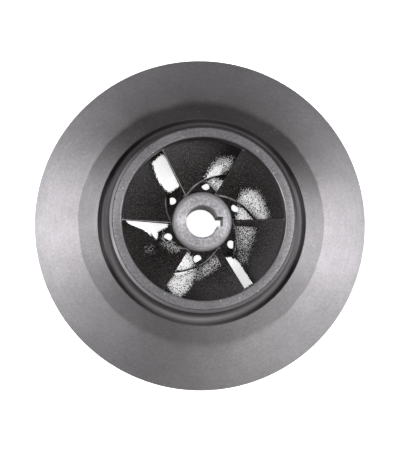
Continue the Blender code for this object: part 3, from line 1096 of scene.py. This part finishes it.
def close_vane(shape, front, rear):
    """Faces over a vane's two sides, along its foot and its top, and at its outer end."""
    rows = len(front[0])
    for i in range(len(front) - 1):
        for j in range(rows - 1):
            for quad in (
                (front[i][j], front[i][j + 1], front[i + 1][j + 1], front[i + 1][j]),
                (rear[i][j], rear[i + 1][j], rear[i + 1][j + 1], rear[i][j + 1]),
            ):
                shape.faces.new(quad)
        for j in (0, rows - 1):
            quad = [front[i][j], front[i + 1][j], rear[i + 1][j], rear[i][j]]
            shape.faces.new(list(dict.fromkeys(quad)))
    for j in range(rows - 1):
        shape.faces.new((front[-1][j], rear[-1][j], rear[-1][j + 1], front[-1][j + 1]))
    bmesh.ops.recalc_face_normals(shape, faces=shape.faces)


class IMPELLER_OT_vanes(bpy.types.Operator):
    """Casts the six swept vanes"""

    bl_idname = "impeller.vanes"
    bl_label = "Vanes"

    def execute(self, context):
        material = cast_material("cast_vane", VANE_PATCHES, 0.00022, vane=True)
        for i in range(VANES):
            mesh = vane_mesh(i * math.tau / VANES, EDGE_WEAR_AND_HIGHLIGHT[i])
            place(link(f"vane_blade_{i + 1}", mesh, material), f"vane_{i + 1}", "as_cast_iron")
        return {"FINISHED"}


def look_at(obj, target, up=(0, 1, 0)):
    """Turns a camera or a light to face the target."""
    away = (obj.location - Vector(target)).normalized()
    right = Vector(up).cross(away).normalized()
    top = away.cross(right)
    obj.rotation_euler = Matrix((right, top, away)).transposed().to_euler()


PICTURE = (400, 450)
COOL = (0.97, 0.95, 1.0)
# Its name, the property with its power, its place, what it faces, its size and its colour.
LIGHTS = (
    ("left_light", "left_power", (-0.92, 0.12, 0.95), (0, 0, 0), (0.5, 0.66), COOL),
    ("right_light", "right_power", (0.92, -0.04, 0.95), (0, 0, 0), (0.5, 0.66), COOL),
    ("low_light", "low_power", (-1.2, -0.35, 0.32), (0, 0, 0.05), (0.4, 0.3), WHITE),
    ("front_light", "fill_power", (0.45, -0.75, 1.0), (0, 0, 0), (0.5, 0.4), WHITE),
)


def lay_floor(stage):
    """The pale floor that the impeller lies on."""
    shape = bmesh.new()
    bmesh.ops.create_grid(shape, x_segments=2, y_segments=2, size=stage.floor_reach)
    bench = NodeBench("pale_floor")
    bench.finish(opaque(stage.floor), 0.6, 0.0)
    bench.fill(bench.shader, Emission_Color=opaque(WHITE), Emission_Strength=stage.floor_glow)
    floor = link("floor", finished_mesh("floor", shape), bench.material)
    floor.location.z = REAR_FACE_Z
    floor.visible_glossy = False


def set_camera(scene, stage):
    """A camera that looks down at the eye, with the rim as large as in the picture."""
    rim_centre = Vector((0, 0, COVER_EDGE_Z + sizes().front_edge))
    data = bpy.data.cameras.new("camera")
    camera = add_object("camera", data)
    side = math.sin(stage.tilt)
    camera.location = rim_centre + stage.distance * Vector(
        (side * math.cos(stage.heading), side * math.sin(stage.heading), math.cos(stage.tilt))
    )
    look_at(camera, rim_centre)
    pixel = OUTER_RADIUS / stage.rim_pixels
    right, up = (camera.matrix_basis.to_3x3().col[k] for k in (0, 1))
    look_at(camera, rim_centre - (right * stage.rim_right + up * stage.rim_up) * pixel)
    data.sensor_fit = "VERTICAL"
    metres_high = pixel * PICTURE[1]
    data.lens = data.sensor_height * stage.distance / metres_high
    data.clip_start = 0.01
    scene.camera = camera


def light_room(scene, stage):
    """Four soft lights, and a room that is brighter overhead than at eye level."""
    for name, power, place, target, size, tint in LIGHTS:
        data = bpy.data.lights.new(name, "AREA")
        data.shape = "RECTANGLE"
        data.size, data.size_y = size
        data.energy = getattr(stage, power)
        data.color = tint
        light = add_object(name, data)
        light.location = place
        look_at(light, target)

    world = bpy.data.worlds.new("room")
    world.use_nodes = True
    tree = world.node_tree
    direction = tree.nodes.new("ShaderNodeTexCoord")
    split = tree.nodes.new("ShaderNodeSeparateXYZ")
    fade = tree.nodes.new("ShaderNodeMapRange")
    fade.interpolation_type = "SMOOTHSTEP"
    heights = (("From Min", 0.55), ("From Max", 0.95))
    brightness = (("To Min", stage.horizon), ("To Max", stage.overhead))
    for name, value in (*heights, *brightness):
        fade.inputs[name].default_value = value
    tree.links.new(direction.outputs["Generated"], split.inputs[0])
    tree.links.new(split.outputs["Z"], fade.inputs["Value"])
    tree.links.new(fade.outputs["Result"], tree.nodes["Background"].inputs["Strength"])
    tree.nodes["Background"].inputs["Color"].default_value = opaque(WHITE)
    scene.world = world
    scene.view_settings.view_transform = "Standard"


class IMPELLER_OT_stage(bpy.types.Operator):
    """Lays the pale floor and sets the camera and the soft lights"""

    bl_idname = "impeller.stage"
    bl_label = "Stage"

    def execute(self, context):
        scene = context.scene
        lay_floor(scene.impeller_stage)
        set_camera(scene, scene.impeller_stage)
        light_room(scene, scene.impeller_stage)
        return {"FINISHED"}


class IMPELLER_PT_panel(bpy.types.Panel):
    """Lists the impeller's pieces"""

    bl_label = "Impeller"
    bl_space_type = "VIEW_3D"
    bl_region_type = "UI"
    bl_category = "Impeller"

    def draw(self, context):
        for operator in OPERATORS:
            self.layout.operator(operator.bl_idname)
        for group_name, kind in GROUPS:
            box = self.layout.box()
            for name in kind.__annotations__:
                box.prop(getattr(context.scene, group_name), name)


OPERATORS = (
    IMPELLER_OT_stage,
    IMPELLER_OT_front_cover,
    IMPELLER_OT_suction_collar,
    IMPELLER_OT_hub_plate,
    IMPELLER_OT_rear_collar,
    IMPELLER_OT_hub_boss,
    IMPELLER_OT_vanes,
)
GROUPS = (
    ("impeller_sizes", ImpellerSizes),
    ("impeller_finishes", ImpellerFinishes),
    ("impeller_stage", ImpellerStage),
)


def register():
    for name, group in GROUPS:
        bpy.utils.register_class(group)
        setattr(bpy.types.Scene, name, PointerProperty(type=group))
    for cls in (*OPERATORS, IMPELLER_PT_panel):
        bpy.utils.register_class(cls)


def unregister():
    for cls in reversed((*OPERATORS, IMPELLER_PT_panel)):
        bpy.utils.unregister_class(cls)
    for name, group in reversed(GROUPS):
        delattr(bpy.types.Scene, name)
        bpy.utils.unregister_class(group)


def main():
    register()
    for operator in OPERATORS:
        family, name = operator.bl_idname.split(".")
        getattr(getattr(bpy.ops, family), name)()


if __name__ == "__main__":
    main()
